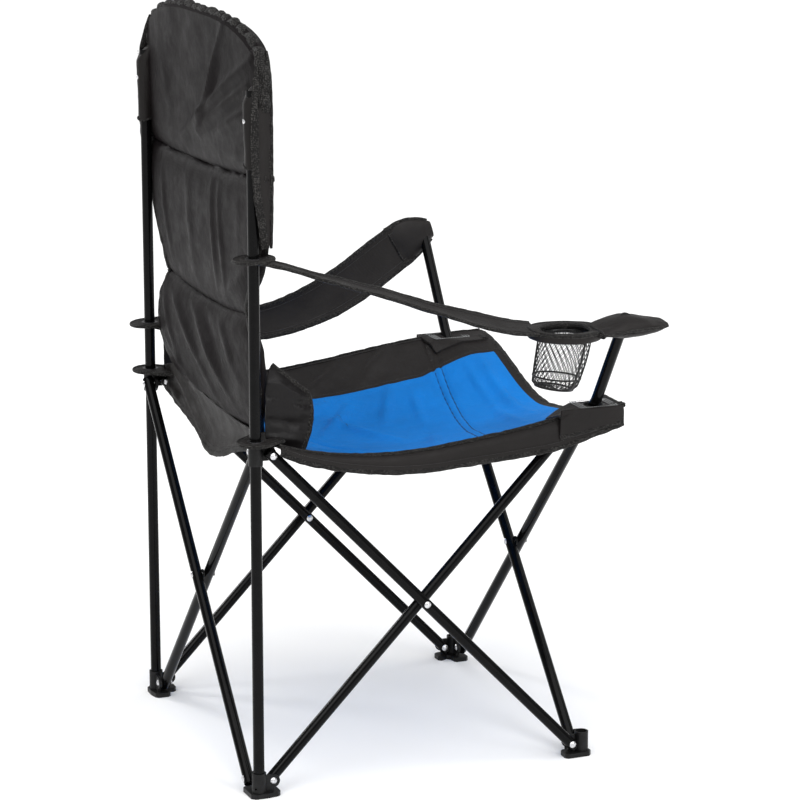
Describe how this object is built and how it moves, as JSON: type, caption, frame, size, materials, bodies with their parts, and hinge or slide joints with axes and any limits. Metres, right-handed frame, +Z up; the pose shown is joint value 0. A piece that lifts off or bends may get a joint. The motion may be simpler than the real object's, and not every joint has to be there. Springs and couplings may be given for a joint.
{
  "type": "folding camp chair",
  "caption": "High-back folding camp chair: crossed tube frame on moulded corner joints, sling seat, padded back, strap armrests, mesh cup holder.",
  "frame": {"origin": "on the floor, under the middle of the whole chair's bounding box", "axes": "+Z up, the sitter faces -Y, +X is the sitter's left"},
  "size_m": [0.7964, 0.5903, 1.102],
  "materials": {
    "black_tube": "gloss powder coat on steel tube",
    "black_moulding": "satin moulded plastic",
    "zinc_rivets": "bright zinc",
    "dark_eyelets": "blackened metal with worn edges",
    "black_nylon": "satin woven nylon",
    "blue_seat_fabric": "matt woven polyester",
    "black_mesh": "open knitted mesh"
  },
  "bodies": {
    "rear_right": {"foot_rear_right": "black_moulding", "rear_post_right": "black_tube", "foot_rivets_rear_right": "zinc_rivets", "sleeve_right": "black_nylon", "sleeve_rivet_right": "zinc_rivets", "back_upper": "black_nylon", "arm_eyelet_right": "dark_eyelets"},
    "rear_tube_a": {"rear_tube_a": "black_tube", "cross_rivet_rear": "zinc_rivets", "cross_washer_rear": "black_moulding"},
    "rear_tube_b": {"rear_tube_b": "black_tube"},
    "rear_left": {"foot_rear_left": "black_moulding", "rear_post_left": "black_tube", "foot_rivets_rear_left": "zinc_rivets", "sleeve_left": "black_nylon", "sleeve_rivet_left": "zinc_rivets"},
    "slider_right": {"slider_right": "black_moulding", "slider_rivets_right": "zinc_rivets", "seat_tab_right": "black_nylon", "seat_eyelet_right": "dark_eyelets"},
    "slider_left": {"slider_left": "black_moulding", "slider_rivets_left": "zinc_rivets", "seat_tab_left": "black_nylon", "seat_eyelet_left": "dark_eyelets", "arm_eyelet_left": "dark_eyelets"},
    "side_tube_b_right": {"side_tube_b_right": "black_tube", "cross_rivet_right": "zinc_rivets", "cross_washer_right": "black_moulding"},
    "side_tube_a_right": {"side_tube_a_right": "black_tube"},
    "front_foot_right": {"foot_front_right": "black_moulding", "foot_rivets_front_right": "zinc_rivets"},
    "bracket_right": {"bracket_right": "black_moulding", "bracket_rivets_right": "zinc_rivets"},
    "arm_tube_left": {"arm_tube_left": "black_tube", "arm_cap_left": "black_moulding", "seat_patch_left": "black_nylon", "patch_eyelet_left": "dark_eyelets", "cross_rivet_front": "zinc_rivets", "cross_washer_front": "black_moulding"},
    "arm_tube_right": {"arm_tube_right": "black_tube", "arm_cap_right": "black_moulding", "seat_patch_right": "black_nylon", "patch_eyelet_right": "dark_eyelets"},
    "front_foot_left": {"foot_front_left": "black_moulding", "foot_rivets_front_left": "zinc_rivets"},
    "bracket_left": {"bracket_left": "black_moulding", "bracket_rivets_left": "zinc_rivets"},
    "side_tube_b_left": {"side_tube_b_left": "black_tube", "cross_rivet_left": "zinc_rivets", "cross_washer_left": "black_moulding"},
    "side_tube_a_left": {"side_tube_a_left": "black_tube"},
    "seat_rear": {"seat_rear": "blue_seat_fabric"},
    "seat_front": {"seat_front": "blue_seat_fabric"},
    "back_lower": {"back_lower": "black_nylon"},
    "armrest_right": {"armrest_right": "black_nylon"},
    "arm_end_right": {"cup_ring": "black_moulding", "cup_basket": "black_mesh"},
    "armrest_left": {"armrest_left": "black_nylon"}
  },
  "joints": [
    {"name": "fold", "type": "hinge", "parent": "rear_right", "child": "rear_tube_a", "pos_m": [-0.231, 0.285, 0.022], "axis": [0, -1, 0], "range_deg": [0, 38], "deforming": ["back_upper", "seat_tab_right", "seat_tab_left", "seat_patch_right", "seat_patch_left"]},
    {"name": "rear_cross", "type": "hinge", "parent": "rear_tube_a", "child": "rear_tube_b", "pos_m": [0, 0.276, 0.26254], "axis": [0, 1, 0], "range_deg": [0, 76]},
    {"name": "rear_left_foot_pivot", "type": "hinge", "parent": "rear_tube_b", "child": "rear_left", "pos_m": [0.231, 0.267, 0.022], "axis": [0, -1, 0], "range_deg": [0, 38]},
    {"name": "slider_right_pivot", "type": "hinge", "parent": "rear_tube_b", "child": "slider_right", "pos_m": [-0.231, 0.267, 0.50309], "axis": [0, -1, 0], "range_deg": [0, 38]},
    {"name": "slider_left_pivot", "type": "hinge", "parent": "rear_tube_a", "child": "slider_left", "pos_m": [0.231, 0.285, 0.50309], "axis": [0, 1, 0], "range_deg": [0, 38]},
    {"name": "side_right_foot_pivot", "type": "hinge", "parent": "rear_right", "child": "side_tube_b_right", "pos_m": [-0.243, 0.255, 0.022], "axis": [-1, 0, 0], "range_deg": [0, 38]},
    {"name": "side_right_cross", "type": "hinge", "parent": "side_tube_b_right", "child": "side_tube_a_right", "pos_m": [-0.252, 0.024, 0.26254], "axis": [1, 0, 0], "range_deg": [0, 76]},
    {"name": "front_foot_right_pivot", "type": "hinge", "parent": "side_tube_a_right", "child": "front_foot_right", "pos_m": [-0.261, -0.207, 0.022], "axis": [-1, 0, 0], "range_deg": [0, 38]},
    {"name": "bracket_right_pivot", "type": "hinge", "parent": "side_tube_b_right", "child": "bracket_right", "pos_m": [-0.243, -0.207, 0.50309], "axis": [1, 0, 0], "range_deg": [0, 38]},
    {"name": "arm_left_foot_pivot", "type": "hinge", "parent": "front_foot_right", "child": "arm_tube_left", "pos_m": [-0.231, -0.219, 0.022], "axis": [0, -1, 0], "range_deg": [0, 38]},
    {"name": "front_cross", "type": "hinge", "parent": "arm_tube_left", "child": "arm_tube_right", "pos_m": [0, -0.228, 0.26254], "axis": [0, 1, 0], "range_deg": [0, 76]},
    {"name": "front_foot_left_pivot", "type": "hinge", "parent": "arm_tube_right", "child": "front_foot_left", "pos_m": [0.231, -0.237, 0.022], "axis": [0, -1, 0], "range_deg": [0, 38]},
    {"name": "bracket_left_pivot", "type": "hinge", "parent": "arm_tube_left", "child": "bracket_left", "pos_m": [0.231, -0.219, 0.50309], "axis": [0, 1, 0], "range_deg": [0, 38]},
    {"name": "side_left_foot_pivot", "type": "hinge", "parent": "rear_left", "child": "side_tube_b_left", "pos_m": [0.261, 0.255, 0.022], "axis": [-1, 0, 0], "range_deg": [0, 38]},
    {"name": "side_left_cross", "type": "hinge", "parent": "side_tube_b_left", "child": "side_tube_a_left", "pos_m": [0.252, 0.024, 0.26254], "axis": [1, 0, 0], "range_deg": [0, 76]},
    {"name": "seat_rear_swing", "type": "hinge", "parent": "slider_right", "child": "seat_rear", "pos_m": [-0.252, 0.245, 0.52], "axis": [1, 0, 0], "range_deg": [0, 83], "deforming": ["seat_rear"]},
    {"name": "seat_front_swing", "type": "hinge", "parent": "bracket_right", "child": "seat_front", "pos_m": [-0.252, -0.197, 0.52], "axis": [-1, 0, 0], "range_deg": [0, 83], "deforming": ["seat_front"]},
    {"name": "back_lower_tilt", "type": "hinge", "parent": "slider_right", "child": "back_lower", "pos_m": [-0.252, 0.254, 0.527], "axis": [1, 0, 0], "range_deg": [0, 12], "deforming": ["back_lower"]},
    {"name": "armrest_right_swing", "type": "hinge", "parent": "rear_right", "child": "armrest_right", "pos_m": [-0.252, 0.276, 0.777], "axis": [-0.4153, 0.9097, -0.0051], "range_deg": [0, 106.73], "deforming": ["armrest_right"]},
    {"name": "arm_end_right_swing", "type": "hinge", "parent": "arm_tube_right", "child": "arm_end_right", "pos_m": [-0.36241, -0.237, 0.68185], "axis": [-0.2836, -0.4912, 0.8236], "range_deg": [0, 70.06]},
    {"name": "armrest_left_swing", "type": "hinge", "parent": "slider_left", "child": "armrest_left", "pos_m": [0.252, 0.276, 0.591], "axis": [-0.1397, -0.7768, -0.6141], "range_deg": [0, 50.44], "deforming": ["armrest_left"]}
  ],
  "couplings": [
    {"joint": "rear_cross", "follows": "fold", "ratio": 2},
    {"joint": "rear_left_foot_pivot", "follows": "fold", "ratio": 1},
    {"joint": "slider_right_pivot", "follows": "fold", "ratio": 1},
    {"joint": "slider_left_pivot", "follows": "fold", "ratio": 1},
    {"joint": "side_right_foot_pivot", "follows": "fold", "ratio": 1},
    {"joint": "side_right_cross", "follows": "fold", "ratio": 2},
    {"joint": "front_foot_right_pivot", "follows": "fold", "ratio": 1},
    {"joint": "bracket_right_pivot", "follows": "fold", "ratio": 1},
    {"joint": "arm_left_foot_pivot", "follows": "fold", "ratio": 1},
    {"joint": "front_cross", "follows": "fold", "ratio": 2},
    {"joint": "front_foot_left_pivot", "follows": "fold", "ratio": 1},
    {"joint": "bracket_left_pivot", "follows": "fold", "ratio": 1},
    {"joint": "side_left_foot_pivot", "follows": "fold", "ratio": 1},
    {"joint": "side_left_cross", "follows": "fold", "ratio": 2},
    {"joint": "seat_rear_swing", "follows": "fold", "ratio": 2.1842},
    {"joint": "seat_front_swing", "follows": "fold", "ratio": 2.1842},
    {"joint": "back_lower_tilt", "follows": "fold", "ratio": 0.31579},
    {"joint": "armrest_right_swing", "follows": "fold", "ratio": 2.8087},
    {"joint": "arm_end_right_swing", "follows": "fold", "ratio": 1.8437},
    {"joint": "armrest_left_swing", "follows": "fold", "ratio": 1.3275}
  ]
}
